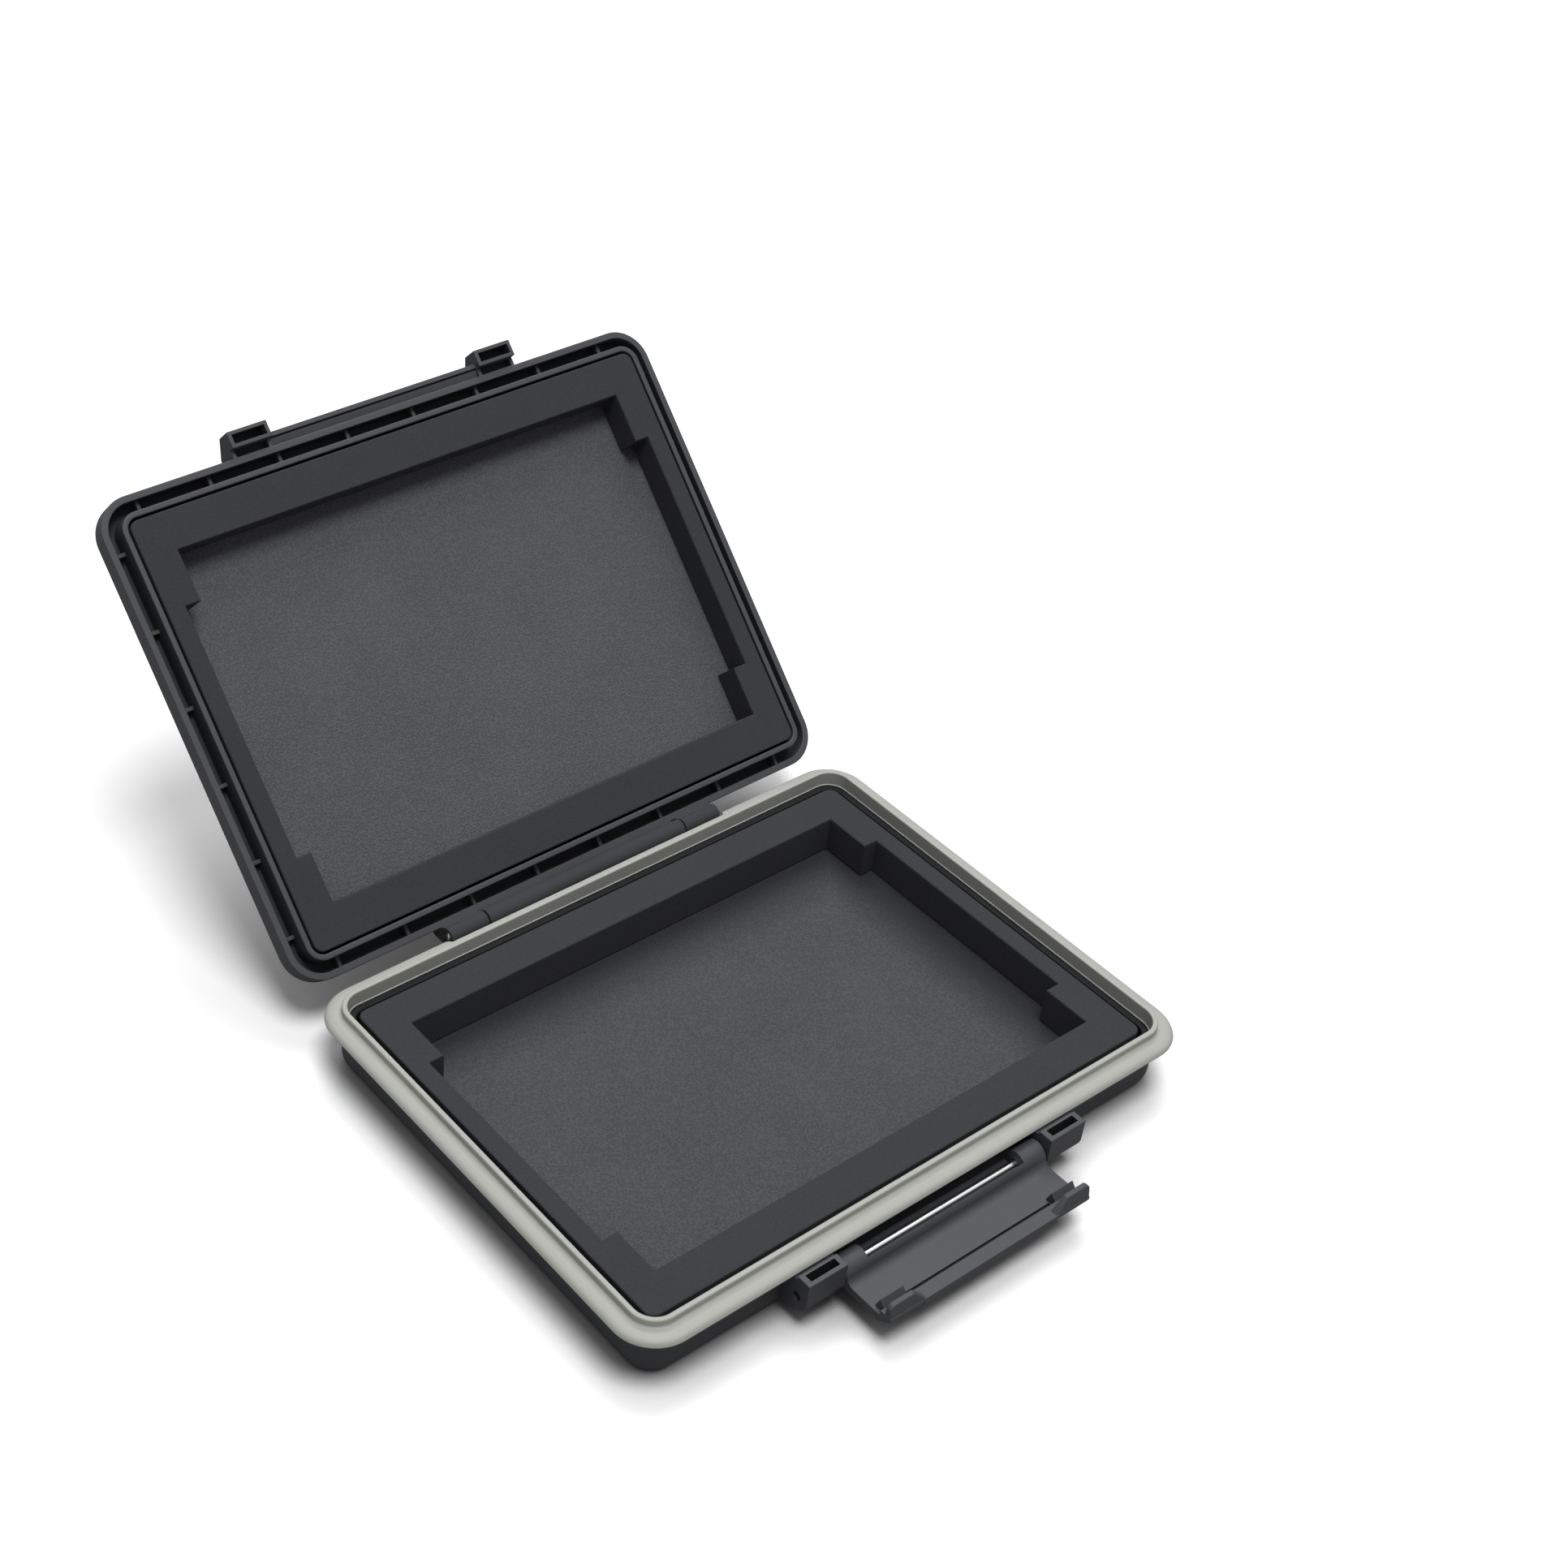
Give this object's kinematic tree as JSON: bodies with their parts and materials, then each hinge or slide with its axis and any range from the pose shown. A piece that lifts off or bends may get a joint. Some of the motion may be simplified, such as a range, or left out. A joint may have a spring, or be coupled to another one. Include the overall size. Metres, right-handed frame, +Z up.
{
  "type": "hard drive case",
  "caption": "Hinged hard-shell case that holds a 2.5-inch drive in cut-out foam, with a seal frame round the base, a pinned lid and a snap latch.",
  "frame": {"origin": "centre of the base's flat underside", "axes": "+Z up out of the base, +X along the hinge and the latch, +Y from the latch side to the hinge side"},
  "size_m": [0.1276, 0.1876, 0.0833],
  "materials": {
    "shell_plastic": "moulded plastic, satin edges and pebble-grained panels",
    "seal_grey": "smooth satin rubber",
    "foam": "fine closed-cell foam, dull",
    "pin_steel": "bright drawn steel"
  },
  "bodies": {
    "base": {"base_shell": "shell_plastic", "seal_frame": "seal_grey", "base_foam": "foam", "base_floor_pad": "foam", "hinge_pin": "pin_steel", "latch_pin": "pin_steel"},
    "lid": {"lid_shell": "shell_plastic", "lid_foam": "foam", "lid_floor_pad": "foam"},
    "latch": {"latch": "shell_plastic"}
  },
  "joints": [
    {"name": "lid_hinge", "type": "hinge", "parent": "base", "child": "lid", "pos_m": [0, 0.04945, 0.01173], "axis": [1, 0, 0], "range_deg": [-44.86, 135.14]},
    {"name": "latch_hinge", "type": "hinge", "parent": "base", "child": "latch", "pos_m": [0, -0.04976, 0.00666], "axis": [-1, 0, 0], "range_deg": [0, 90]}
  ]
}
